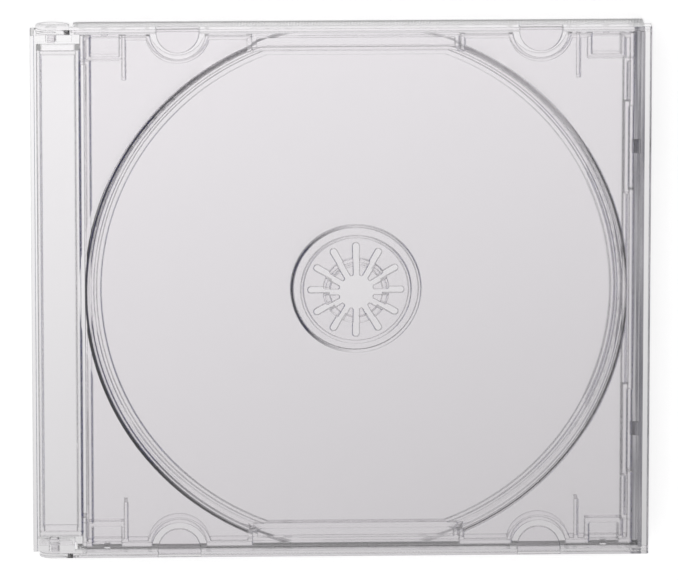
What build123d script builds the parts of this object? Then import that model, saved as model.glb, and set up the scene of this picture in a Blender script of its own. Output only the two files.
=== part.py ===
"""Clear hinged case for one 120 mm disc, closed and lying on its back: front lid, back cover and disc tray.

Millimetres. The origin is the centre of the case's underside. +X runs from the hinge side to the
opening side, +Y to the head of the case and +Z out through the front.
"""

from build123d import *
import math
import os

# The disc, and the room that the case leaves round it
disc_radius = 60.0
disc_hole_radius = 7.5
disc_thickness = 1.2
disc_hinge_room = 14.5
disc_opening_room = 7.5
disc_side_room = 2.0
case_height = 10.4

# Plates and walls
front_plate = 1.2
back_plate = 1.2
side_wall = 1.1
spine_wall = 0.9
tray_sheet = 1.0

# Split between lid and back cover
rail_depth = 4.2
rail_gap = 0.2
lid_overhang = 1.5
spine_drop = 0.8
opening_wall_gap = 0.3
edge_round = 0.4

# Hinge
pin_radius = 1.25
pin_play = 0.06
pin_inset = 4.8
pin_reach = 3.8
pin_lead = 0.3
arm_back = 3.45
arm_front = 4.25
arm_back_flat = 0.15
arm_front_flat = 0.45
arm_wall_gap = 0.9
swing_gap = 0.3
cheek_wall = 1.5
cheek_length = 9.6
cheek_drop = 1.0
plate_swing_gap = 2.6

# Booklet tabs
tab_radius = 5.0
tab_thickness = 1.0
booklet_space = 1.8
tab_hinge_inset = 33.7
tab_opening_inset = 25.3

# Grip ridges on the back cover's side walls
ridge_pitch = 0.7
ridge_depth = 0.22

# Tray
tray_seat_gap = 0.1
deck_drop = 2.0
strip_drop = 1.0
strip_gap = 0.9
strip_card_gap = 0.5
strip_end_inset = 4.9
tray_side_gap = 0.9
tray_opening_gap = 1.3
stop_step = 0.4
hinge_stop_width = 1.5
opening_stop_width = 2.7
stop_end_inset = 5.6
tab_notch_gap = 1.4

# Disc well
well_depth = 3.2
well_wall_gap = 0.7
well_slope = 0.9
well_foot_round = 0.5
floor_gap = 1.4
ledge_step = 0.6
ledge_width = 1.8
trough_half_length = 22.7
trough_end_step = 1.2
trough_width = 2.1
trough_clearance = 0.4
lip_width = 1.2

# Hub
seat_step = 1.6
seat_radius = 12.7
hub_ring_radius = 15.0
hub_ring_step = 1.0
hub_wall = 0.6
finger_sheet = 0.8
finger_wall = 1.4
finger_count = 12
finger_tip_radius = 3.9
finger_tip_round = 0.5
slot_tip_width = 1.2
slot_root_width = 1.45
slot_reach = 11.0
hub_top = 2.5
hub_grip = 0.12
hub_crown = 0.35
hub_crown_round = 0.4

# Snap pockets and hooks that hold the tray
pocket_length = 6.7
pocket_depth = 4.75
pocket_step = 0.4
pocket_opening_inset = 3.2
hook_width = 1.4
hook_rise = 0.9
hook_gap = 0.15
hook_cover = 0.5
side_slot_near = 23.5
side_slot_far = 43.0
side_slot_depth = 1.3
side_slot_step = 1.0
side_hook_length = 3.2

# Ribs under the deck that keep the back card flat
card_rib_width = 0.8
card_rib_length = 9.8
card_rib_hinge_inset = 1.0
card_rib_opening_inset = 3.0
card_gap = 0.2

case_length = disc_hinge_room + 2 * disc_radius + disc_opening_room
case_width = 2 * (disc_radius + disc_side_room)
hinge_face = -case_length / 2
opening_face = case_length / 2
half_width = case_width / 2
back_opening_face = opening_face - lid_overhang
side_inner = half_width - side_wall
hinge_x = hinge_face + pin_inset
hinge_z = case_height / 2
arm_clear_x = hinge_x + arm_front + arm_wall_gap
cheek_outer = side_inner - swing_gap
plate_hinge_edge = hinge_face + 2 * pin_inset + plate_swing_gap
plate_under = case_height - front_plate
rail_bottom = case_height - rail_depth
side_wall_height = rail_bottom - rail_gap
tab_top = plate_under - booklet_space
tab_places = [hinge_face + tab_hinge_inset, opening_face - tab_opening_inset]
disc_x = hinge_face + disc_hinge_room + disc_radius
tray_foot = back_plate + tray_seat_gap
deck_height = plate_under - deck_drop
strip_height = case_height - strip_drop
stop_height = deck_height + stop_step
strip_start = hinge_face + spine_wall + strip_card_gap
strip_end = plate_hinge_edge - strip_gap
deck_start = strip_end
deck_end = back_opening_face - spine_wall - tray_opening_gap
tray_half = side_inner - tray_side_gap
hinge_stop_end = plate_hinge_edge + hinge_stop_width
opening_stop_start = deck_end - opening_stop_width
hinge_pocket = hinge_stop_end + pocket_length / 2
opening_pocket = deck_end - pocket_opening_inset - pocket_length / 2
floor_height = deck_height - well_depth
ledge_height = floor_height + ledge_step
pocket_height = floor_height + pocket_step
side_slot_height = floor_height + side_slot_step
ledge_chord = tray_half - lip_width - trough_width
floor_chord = ledge_chord - ledge_width


def block(x0, x1, y0, y1, z0, z1):
    """A box from its lowest and highest corners."""
    return Pos((x0 + x1) / 2, (y0 + y1) / 2, (z0 + z1) / 2) * Box(x1 - x0, y1 - y0, z1 - z0)


def both_sides(solid):
    """The solid and its mirror image across the case's centre line."""
    return solid + mirror(solid, about=Plane.XZ)


def make_arm():
    """One hinge arm with its pin, at the head of the case."""
    left, right = hinge_x - arm_back, hinge_x + arm_front
    back_round, front_round = arm_back - arm_back_flat, arm_front - arm_front_flat
    with BuildSketch(Plane.XZ) as profile:
        with Locations(((left + right) / 2, case_height / 2)):
            Rectangle(right - left, case_height)
        fillet(profile.vertices().group_by(Axis.X)[0], back_round)
        low_front = profile.vertices().sort_by(Axis.X)[-2:].sort_by(Axis.Y)[0]
        fillet(low_front, front_round)
    arm = Pos(0, half_width, 0) * extrude(profile.sketch, amount=side_wall)
    tip = half_width - pin_reach
    pin = Rot(90, 0, 0) * Cylinder(pin_radius, side_inner - tip)
    pin = Pos(hinge_x, (side_inner + tip) / 2, hinge_z) * pin
    pin = chamfer(pin.edges().filter_by(GeomType.CIRCLE).sort_by(Axis.Y)[0], pin_lead)
    return arm + pin


def make_lid():
    """The front lid: window plate, rails, booklet tabs, hinge arms and pins."""
    plate = block(plate_hinge_edge, opening_face, -half_width, half_width, plate_under, case_height)
    rail = block(hinge_x, opening_face, side_inner, half_width, rail_bottom, case_height)
    lid = plate + both_sides(rail)
    top_edges = lid.faces().sort_by(Axis.Z)[-1].edges().filter_by(Axis.Y).sort_by(Axis.X)[-1:]
    lid = chamfer(top_edges, edge_round)
    side = make_arm()
    for place in tab_places:
        half_moon = Pos(place, side_inner, tab_top - tab_thickness / 2) * Cylinder(tab_radius, tab_thickness)
        half_moon &= block(place - tab_radius, place + tab_radius, 0, side_inner, 0, case_height)
        side += half_moon
    lid += both_sides(side)
    for place in tab_places:
        window = block(place - tab_radius, place + tab_radius, side_inner, half_width, tab_top, plate_under)
        lid -= both_sides(window)
    return lid


def make_ridged_wall():
    """The back cover's side wall at the head of the case, with its row of upright grip ridges."""
    root = half_width - ridge_depth
    count = int((back_opening_face - arm_clear_x) / ridge_pitch)
    start = back_opening_face - count * ridge_pitch
    points = [(arm_clear_x, side_inner), (arm_clear_x, root)]
    for index in range(count):
        foot = start + index * ridge_pitch
        points += [(foot, root), (foot + ridge_pitch / 2, half_width)]
    points += [(back_opening_face, root), (back_opening_face, side_inner)]
    wall = extrude(make_face(Polyline(points, close=True)), amount=side_wall_height)
    front_round = arm_front - arm_front_flat
    reach = math.hypot(arm_front_flat, hinge_z - front_round) + front_round
    swing = Cylinder(reach + swing_gap, case_width)
    return wall - Pos(hinge_x, half_width, hinge_z) * Rot(90, 0, 0) * swing


def make_cheek():
    """The hinge cheek at the head of the case, with its pin hole."""
    inner = cheek_outer - cheek_wall
    cheek = block(hinge_face, hinge_face + cheek_length, inner, cheek_outer, 0, case_height - cheek_drop)
    hole = Cylinder(pin_radius + pin_play, 2 * cheek_wall)
    return cheek - Pos(hinge_x, cheek_outer - cheek_wall / 2, hinge_z) * Rot(90, 0, 0) * hole


def make_side_hook(place):
    """A wedge on the side wall that holds the tray down in one snap pocket."""
    low = pocket_height + hook_gap
    tip = tray_half - hook_cover
    with BuildSketch(Plane.YZ) as wedge:
        Polygon((side_inner, low), (tip, low), (side_inner, low + hook_rise), align=None)
    return Pos(place - hook_width / 2, 0, 0) * extrude(wedge.sketch, amount=hook_width)


def make_opening_hook(middle):
    """A wedge on the opening-side spine wall that holds the tray down in its side slot."""
    low = side_slot_height + hook_gap
    wall_face = back_opening_face - spine_wall
    tip = deck_end - hook_cover
    with BuildSketch(Plane.XZ) as wedge:
        Polygon((wall_face, low), (tip, low), (wall_face, low + hook_rise), align=None)
    return Pos(0, middle + side_hook_length / 2, 0) * extrude(wedge.sketch, amount=side_hook_length)


def make_back():
    """The back cover: plate, spine walls, ridged side walls, hinge cheeks and tray hooks."""
    plate = block(arm_clear_x, back_opening_face, -side_inner, side_inner, 0, back_plate)
    plate += block(hinge_face, arm_clear_x, -cheek_outer, cheek_outer, 0, back_plate)
    walls = block(hinge_face, hinge_face + spine_wall, -cheek_outer, cheek_outer, 0, case_height - spine_drop)
    walls += block(back_opening_face - spine_wall, back_opening_face, -cheek_outer, cheek_outer,
                   0, plate_under - opening_wall_gap)
    side = make_cheek()
    for place in (hinge_pocket, opening_pocket):
        side += make_side_hook(place)
    side += make_opening_hook((side_slot_near + side_slot_far) / 2)
    side += make_ridged_wall()
    return plate + walls + both_sides(side)


def deck_form(inset):
    """The tray's strip, deck and stops, each wall moved in and each top dropped by the inset."""
    form = block(deck_start + inset, deck_end - inset, inset - tray_half, tray_half - inset,
                 tray_foot, deck_height - inset)
    strip_half = half_width - strip_end_inset
    form += block(strip_start + inset, strip_end - inset, inset - strip_half, strip_half - inset,
                  tray_foot, strip_height - inset)
    stop_half = tray_half - stop_end_inset
    for near, far in ((strip_end - tray_sheet, hinge_stop_end), (opening_stop_start, deck_end)):
        form += block(near + inset, far - inset, inset - stop_half, stop_half - inset,
                      tray_foot, stop_height - inset)
    return form


def well_form(inset):
    """The disc well: a sloping wall, a ledge and the floor, with four flat sides.

    The wall's foot is rounded on the disc's side and chamfered underneath.
    """
    foot = disc_radius + well_wall_gap + inset
    low, high = ledge_height - inset, stop_height - inset
    with BuildSketch(Plane.XZ) as profile:
        Polygon((0, low), (foot, low), (foot + well_slope, high), (0, high), align=None)
        corner = profile.vertices().sort_by_distance((foot, low))[0]
        ease = chamfer if inset else fillet
        ease(corner, well_foot_round + inset)
    wall = Pos(disc_x, 0, 0) * revolve(profile.sketch, Axis.Z)
    near, far = hinge_stop_end - inset, opening_stop_start + inset
    wall &= block(near, far, -ledge_chord - inset, ledge_chord + inset, 0, case_height)
    low = floor_height - inset
    floor = Cylinder(disc_radius - floor_gap + inset, case_height - low)
    floor = Pos(disc_x, 0, (case_height + low) / 2) * floor
    floor &= block(near, far, -floor_chord - inset, floor_chord + inset, 0, case_height)
    return wall + floor


def edge_form(inset):
    """The cuts into the tray's edge at the head: finger trough, tab notches, pockets and side slot."""
    reach = trough_half_length + inset
    form = block(disc_x - reach, disc_x + reach, ledge_chord - inset, ledge_chord + trough_width + inset,
                 back_plate + trough_clearance + tray_sheet - inset, case_height)
    reach += trough_end_step
    form += block(disc_x - reach, disc_x + reach, ledge_chord - inset, half_width,
                  ledge_height - inset, case_height)
    for place in tab_places:
        notch = Cylinder(tab_radius + tab_notch_gap + inset, case_height)
        form += Pos(place, side_inner, case_height / 2) * notch
    for place in (hinge_pocket, opening_pocket):
        half = pocket_length / 2 + inset
        form += block(place - half, place + half, tray_half - pocket_depth - inset, half_width,
                      pocket_height - inset, case_height)
    form += block(deck_end - side_slot_depth - inset, opening_face,
                  side_slot_near - inset, side_slot_far + inset, side_slot_height - inset, case_height)
    return form


def tray_form(inset):
    """The tray as a solid form: its outer skin for no inset, and the hollow under it for one sheet."""
    return deck_form(inset) - well_form(inset) - both_sides(edge_form(inset))


def finger_openings():
    """The plan of the hub's centre hole and the slots that part it into round-ended spring fingers."""
    near = finger_tip_radius - slot_tip_width
    far = slot_reach - slot_root_width / 2
    tip_width = 2 * math.pi * finger_tip_radius / finger_count - slot_tip_width
    with BuildSketch() as plan:
        Circle(finger_tip_radius)
        with PolarLocations(0, finger_count):
            Polygon((near, -slot_tip_width / 2), (far, -slot_root_width / 2), (far, slot_root_width / 2),
                    (near, slot_tip_width / 2), align=None)
        with PolarLocations(far, finger_count):
            Circle(slot_root_width / 2)
        tips = [corner for corner in plan.vertices() if math.hypot(corner.X, corner.Y) < slot_reach / 2]
        fillet(tips, min(finger_tip_round, tip_width / 2))
    return plan.sketch


def make_hub():
    """The hub: a stepped ring that carries the disc and twelve spring fingers that grip its hole."""
    ring = floor_height + hub_ring_step
    seat = floor_height + seat_step
    disc_top = seat + disc_thickness
    top = seat + hub_top
    under = floor_height - tray_sheet
    crown = disc_hole_radius - hub_crown
    inner = disc_hole_radius - finger_wall
    outline = [
        (hub_ring_radius, under),
        (hub_ring_radius, ring),
        (seat_radius, ring),
        (seat_radius, seat),
        (disc_hole_radius, seat),
        (disc_hole_radius, disc_top),
        (disc_hole_radius + hub_grip, disc_top + hub_grip),
        (crown, top),
        (0, top),
        (0, top - finger_sheet),
        (inner, top - finger_sheet),
        (inner, seat - finger_sheet),
        (seat_radius - hub_wall, seat - finger_sheet),
        (seat_radius - hub_wall, ring - tray_sheet),
        (hub_ring_radius - hub_wall, ring - tray_sheet),
        (hub_ring_radius - hub_wall, under),
    ]
    with BuildSketch(Plane.XZ) as section:
        Polygon(*outline, align=None)
        fillet(section.vertices().sort_by_distance((crown, top))[0], hub_crown_round)
    hub = revolve(section.sketch, Axis.Z) - extrude(finger_openings(), amount=case_height)
    return Pos(disc_x, 0, 0) * hub


def make_card_rib(place):
    """A rib under the deck at the head of the case, which keeps a printed back card flat."""
    far = tray_half - tray_sheet / 2
    half = card_rib_width / 2
    return block(place - half, place + half, far - card_rib_length, far,
                 tray_foot + card_gap, deck_height - tray_sheet / 2)


def make_tray():
    """The disc tray: one thin moulded sheet with a raised strip, a round well, a hub and card ribs."""
    tray = tray_form(0) - tray_form(tray_sheet)
    tray -= Pos(disc_x, 0, floor_height) * Cylinder(hub_ring_radius, 4 * tray_sheet)
    tray += make_hub()
    hinge_rib = hinge_pocket + pocket_length / 2 + card_rib_hinge_inset
    opening_rib = opening_pocket - pocket_length / 2 - card_rib_opening_inset
    return tray + both_sides(make_card_rib(hinge_rib) + make_card_rib(opening_rib))


os.makedirs("parts", exist_ok=True)
for name, solid in {"front_lid": make_lid(), "disc_tray": make_tray(), "back_cover": make_back()}.items():
    solid.label = name
    export_step(solid, f"parts/{name}.step")
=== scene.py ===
"""Looks of the clear hinged disc case: polished transparent plastic on a sheet of white paper."""

import math

import bpy
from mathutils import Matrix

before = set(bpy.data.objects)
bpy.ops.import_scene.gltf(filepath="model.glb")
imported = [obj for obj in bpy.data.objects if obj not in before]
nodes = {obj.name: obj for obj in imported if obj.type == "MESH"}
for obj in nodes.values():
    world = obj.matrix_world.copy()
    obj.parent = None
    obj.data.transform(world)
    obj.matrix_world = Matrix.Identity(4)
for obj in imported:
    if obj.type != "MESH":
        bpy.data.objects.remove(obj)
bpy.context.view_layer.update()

# Camera, from the photograph's outline and hub: 2 m above the case, leaning from its head side
photo_width = 678
focal_pixels = 8895
sensor_width = 36
camera_place = (-0.0648, 0.447, 2.0)
camera_turn = (-12.63, -1.85, 0.0)
nearest_seen, farthest_seen = 0.01, 20

# Directions: +X runs from the hinge to the opening side, +Z up through the lid
to_opening_side, up = (1, 0, 0), (0, 0, 1)
keep_level = (1, 1, 0)

# Plastic: the tints are what one wall lets through; the painted shade colours are dark tints painted on its
# edges and marks
lid_tint, lid_painted_shade_colour = (0.985, 0.972, 0.985), (0.03, 0.03, 0.05)
tray_tint, tray_painted_shade_colour = (0.99, 0.98, 0.99), (0.0, 0.0, 0.01)
cover_tint, cover_painted_shade_colour = (0.985, 0.975, 0.985), (0.02, 0.02, 0.05)
refractive_index = 1.59
plain_gloss = 0.5
polish, smeared_polish = 0.005, 0.015
smear_scale, smear_detail = 60, 3
shadow_share = 0.95

# Edges: radii in metres, the cosines of a normal's lean where the painted edge shade starts and is full,
# and the shares of it left on edges that run across the case and on those that face the hinge
lid_edge_radius = 0.0003
tray_edge_radius = 0.00034
cover_edge_radius = 0.00012
side_edge_radius, side_reach = 0.00055, 0.0565
rim_edge_radius, rim_reach = 0.00012, 0.0016
edge_samples = 4
edge_shade_start, edge_shade_full = 0.9999, 0.985
cross_share, cross_low, cross_high = 0.4, 0.1, 0.7
hinge_share, hinge_low, hinge_high = 0.75, -0.5, 0.3

# Painted shade lines of the tray: radius about the disc's centre, half width, and share left on the opening
# side, then where a line fades, in half widths, and how near the hinge it is full, as a part of its radius
disc_centre = (0.0035, 0, 0)
rim_radius, rim_line, rim_far_share = 0.062, 0.00026, 0.45
ring_radius, ring_line, ring_far_share = 0.0147, 0.00022, 0.0
line_inner, line_outer = 0.7, 1.3
line_full_reach = 0.75

# Painted shade band of the cover, painted dark beside its wall at the opening side: middle and half width
# along X
band_middle, band_width, band_soft = 0.0687, 0.0013, 0.0002
streak_scale, streak_detail = (1400, 25, 0), 2
streak_low, streak_high = 0.35, 0.65
streak_light, streak_dark = 0.35, 0.9

# Paper and sky: plain levels, where 1 is white
paper_size, paper_gap = 6, 0.0001
paper_white = 0.9
paper_glow = 0.57
# Seen through the plastic the paper glows, with a painted falloff of light that darkens it down to this
# level
paper_painted_falloff_low = 0.64
painted_falloff_direction, painted_falloff_start, painted_falloff_end = (-0.355, 0.935, 0), -0.078, 0.066
overhead_level, overhead_start, overhead_full = 0.42, 0.8, 0.95
bright_side, side_level, side_dark = (-0.93, 0.37, 0), 0.85, 0.3
side_start, side_full = -1, 0.5

# How often light may bend or reflect on its way through the walls
light_bounces, mirror_bounces, clear_bounces = 24, 12, 32

camera_data = bpy.data.cameras.new("camera")
camera_data.sensor_width = sensor_width
camera_data.lens = sensor_width * focal_pixels / photo_width
camera_data.clip_start, camera_data.clip_end = nearest_seen, farthest_seen
camera = bpy.data.objects.new("camera", camera_data)
camera.location = camera_place
camera.rotation_euler = [math.radians(angle) for angle in camera_turn]
bpy.context.collection.objects.link(camera)
bpy.context.scene.camera = camera


class Graph:
    """A material's or world's node tree, with short ways to add the nodes used here."""

    def __init__(self, owner):
        owner.use_nodes = True
        self.tree = owner.node_tree
        self.tree.nodes.clear()

    def add(self, kind, **inputs):
        """A new node; each input is a number, a colour or another node's output."""
        node = self.tree.nodes.new("ShaderNode" + kind)
        for name, value in inputs.items():
            self.set(node.inputs[name.replace("_", " ")], value)
        return node

    def set(self, socket, value):
        if isinstance(value, bpy.types.NodeSocket):
            self.tree.links.new(value, socket)
        else:
            socket.default_value = value

    def ramp(self, value, low, high, bottom, top, smooth=False):
        """A value mapped from one range to another and held at the ends."""
        node = self.add("MapRange", Value=value, From_Min=low, From_Max=high, To_Min=bottom, To_Max=top)
        node.interpolation_type = "SMOOTHSTEP" if smooth else "LINEAR"
        return node.outputs["Result"]

    def math(self, operation, first, second=0.0):
        node = self.add("Math")
        node.operation = operation
        self.set(node.inputs[0], first)
        self.set(node.inputs[1], second)
        return node.outputs["Value"]

    def vector(self, operation, first, second=(0, 0, 0), output="Vector"):
        node = self.add("VectorMath")
        node.operation = operation
        self.set(node.inputs[0], first)
        self.set(node.inputs[1], second)
        return node.outputs[output]

    def dot(self, first, second):
        return self.vector("DOT_PRODUCT", first, second, "Value")

    def distance(self, value, middle):
        """How far a value is from a middle, either way."""
        return self.math("ABSOLUTE", self.math("SUBTRACT", value, middle))

    def mix_shaders(self, share, first, second):
        node = self.add("MixShader", Fac=share)
        self.set(node.inputs[1], first)
        self.set(node.inputs[2], second)
        return node.outputs["Shader"]

    def mix_colours(self, share, first, second):
        node = self.add("MixRGB", Fac=share, Color1=(*first, 1), Color2=(*second, 1))
        return node.outputs["Color"]


def from_disc_centre(graph, place):
    """The level vector from the disc's centre to a place, and its length."""
    spoke = graph.vector("MULTIPLY", graph.vector("SUBTRACT", place, disc_centre), keep_level)
    return spoke, graph.vector("LENGTH", spoke, output="Value")


def tray_edges(graph, place):
    """The tray's edge radius: larger in the walls at both ends, small round the rim on the hinge side."""
    across = graph.dot(place, to_opening_side)
    ends = graph.math("GREATER_THAN", graph.math("ABSOLUTE", across), side_reach)
    radius = graph.ramp(ends, 0, 1, tray_edge_radius, side_edge_radius)
    reach = from_disc_centre(graph, place)[1]
    near_rim = graph.math("LESS_THAN", graph.distance(reach, rim_radius), rim_reach)
    rim = graph.math("MULTIPLY", near_rim, graph.math("LESS_THAN", across, 0.0))
    return graph.ramp(rim, 0, 1, radius, rim_edge_radius)


def tray_painted_shade_lines(graph, place):
    """Painted shade: dark lines painted along the rim of the well and the hub ring, strongest on the hinge
    side.
    """
    spoke, reach = from_disc_centre(graph, place)
    across = graph.dot(spoke, to_opening_side)
    lines = []
    for radius, width, far_share in ((rim_radius, rim_line, rim_far_share),
                                     (ring_radius, ring_line, ring_far_share)):
        # Painted shade is full towards the hinge and falls to its far share on the opening side
        share = graph.ramp(across, -radius * line_full_reach, 0, 1.0, far_share)
        off = graph.distance(reach, radius)
        line = graph.ramp(off, width * line_inner, width * line_outer, 1.0, 0.0)
        lines.append(graph.math("MULTIPLY", line, share))
    return graph.math("MAXIMUM", *lines)


def cover_painted_shade_band(graph, place):
    """Painted shade: a darker band painted beside the wall at the opening side, with streaks that run along
    it.
    """
    off = graph.distance(graph.dot(place, to_opening_side), band_middle)
    band = graph.ramp(off, band_width, band_width + band_soft, 1.0, 0.0)
    streaks = graph.add("TexNoise", Vector=graph.vector("MULTIPLY", place, streak_scale),
                        Scale=1, Detail=streak_detail).outputs["Fac"]
    # Painted shade: the streaks set how dark the painted band is
    depth = graph.ramp(streaks, streak_low, streak_high, streak_light, streak_dark)
    return graph.math("MULTIPLY", band, depth)


def clear_plastic(name, tint, painted_shade_colour, edge_radius, painted_shade_lines=None):
    """Polished clear polystyrene with faint flow marks, and rounded edges that carry a painted shade.

    The painted shade is darkest on edges that run from head to foot, most of all on those that face the
    opening side, and it takes their gloss away.
    """
    material = bpy.data.materials.new(name)
    graph = Graph(material)
    place = graph.add("TexCoord").outputs["Object"]
    edge = graph.add("Bevel", Radius=edge_radius(graph, place) if callable(edge_radius) else edge_radius)
    edge.samples = edge_samples
    normal = edge.outputs["Normal"]
    surface = graph.add("NewGeometry").outputs
    # Painted shade: where the softened normal leans away from the surface's own, the edge is tinted dark
    rounded = graph.ramp(graph.dot(normal, surface["Normal"]), edge_shade_full, edge_shade_start, 1.0, 0.0)
    outward = graph.ramp(surface["Backfacing"], 0, 1, 1.0, -1.0)
    heading = graph.vector("NORMALIZE", graph.vector("MULTIPLY", normal, keep_level))
    sideways = graph.math("MULTIPLY", graph.dot(heading, to_opening_side), outward)
    upright = graph.ramp(graph.math("ABSOLUTE", sideways), cross_low, cross_high, cross_share, 1.0)
    facing = graph.ramp(sideways, hinge_low, hinge_high, hinge_share, 1.0)
    shade = graph.math("MULTIPLY", rounded, graph.math("MULTIPLY", upright, facing))
    # Painted shade lines or band are added to the painted edge shade
    if painted_shade_lines:
        shade = graph.math("MAXIMUM", shade, painted_shade_lines(graph, place))
    smears = graph.add("TexNoise", Vector=place, Scale=smear_scale, Detail=smear_detail).outputs["Fac"]
    # The painted shade tints the base colour dark and takes the gloss away
    glass = graph.add("BsdfPrincipled", Base_Color=graph.mix_colours(shade, tint, painted_shade_colour), Normal=normal,
                      Roughness=graph.ramp(smears, 0, 1, polish, smeared_polish), IOR=refractive_index,
                      Transmission_Weight=1, Specular_IOR_Level=graph.ramp(shade, 0, 1, plain_gloss, 0.0))
    clear = graph.add("BsdfTransparent", Color=(*[math.sqrt(part) * shadow_share for part in tint], 1))
    shadow = graph.add("LightPath").outputs["Is Shadow Ray"]
    either = graph.mix_shaders(shadow, glass.outputs["BSDF"], clear.outputs["BSDF"])
    graph.add("OutputMaterial", Surface=either)
    return material


def set_material(piece, material):
    piece.data.materials.clear()
    piece.data.materials.append(material)


def make_paper():
    """White paper with the case's faint shadow; seen through the plastic it glows, darkening by painted
    shade towards the opening side's foot.
    """
    bpy.ops.mesh.primitive_plane_add(size=paper_size, location=(0, 0, -paper_gap))
    sheet = bpy.context.object
    sheet.name = "paper"
    material = bpy.data.materials.new("paper_white")
    graph = Graph(material)
    path = graph.add("LightPath").outputs
    place = graph.add("NewGeometry").outputs["Position"]
    paint = graph.add("BsdfDiffuse", Color=(paper_white,) * 3 + (1,)).outputs["BSDF"]
    glow = graph.add("Emission", Color=(paper_glow,) * 3 + (1,)).outputs["Emission"]
    lit = graph.add("AddShader")
    graph.set(lit.inputs[0], paint)
    graph.set(lit.inputs[1], glow)
    seen = graph.math("MAXIMUM", path["Is Camera Ray"], path["Is Glossy Ray"])
    # Painted falloff of light: the glow seen through the plastic darkens along one direction
    level = graph.ramp(graph.dot(place, painted_falloff_direction), painted_falloff_start, painted_falloff_end, paper_painted_falloff_low, 1.0)
    through = graph.add("Emission", Color=level).outputs["Emission"]
    surface = graph.mix_shaders(seen, paint, lit.outputs["Shader"])
    graph.add("OutputMaterial", Surface=graph.mix_shaders(path["Is Transmission Ray"], surface, through))
    set_material(sheet, material)


def make_sky():
    """A soft panel overhead in a pale room that is darkest to the opening side."""
    world = bpy.data.worlds.new("studio")
    graph = Graph(world)
    direction = graph.add("TexCoord").outputs["Generated"]
    side = graph.ramp(graph.dot(direction, bright_side), side_start, side_full, side_dark, side_level)
    level = graph.ramp(graph.dot(direction, up), overhead_start, overhead_full, side, overhead_level,
                       smooth=True)
    background = graph.add("Background", Color=(1, 1, 1, 1), Strength=level)
    graph.add("OutputWorld", Surface=background.outputs["Background"])
    bpy.context.scene.world = world


set_material(nodes["front_lid"], clear_plastic("lid_plastic", lid_tint, lid_painted_shade_colour, lid_edge_radius))
set_material(nodes["disc_tray"], clear_plastic("tray_plastic", tray_tint, tray_painted_shade_colour,
                                               tray_edges, tray_painted_shade_lines))
set_material(nodes["back_cover"], clear_plastic("cover_plastic", cover_tint, cover_painted_shade_colour,
                                                cover_edge_radius, cover_painted_shade_band))
make_paper()
make_sky()
cycles = bpy.context.scene.cycles
cycles.max_bounces = light_bounces
cycles.transmission_bounces = light_bounces
cycles.glossy_bounces = mirror_bounces
cycles.transparent_max_bounces = clear_bounces
bpy.context.scene.view_settings.view_transform = "Standard"
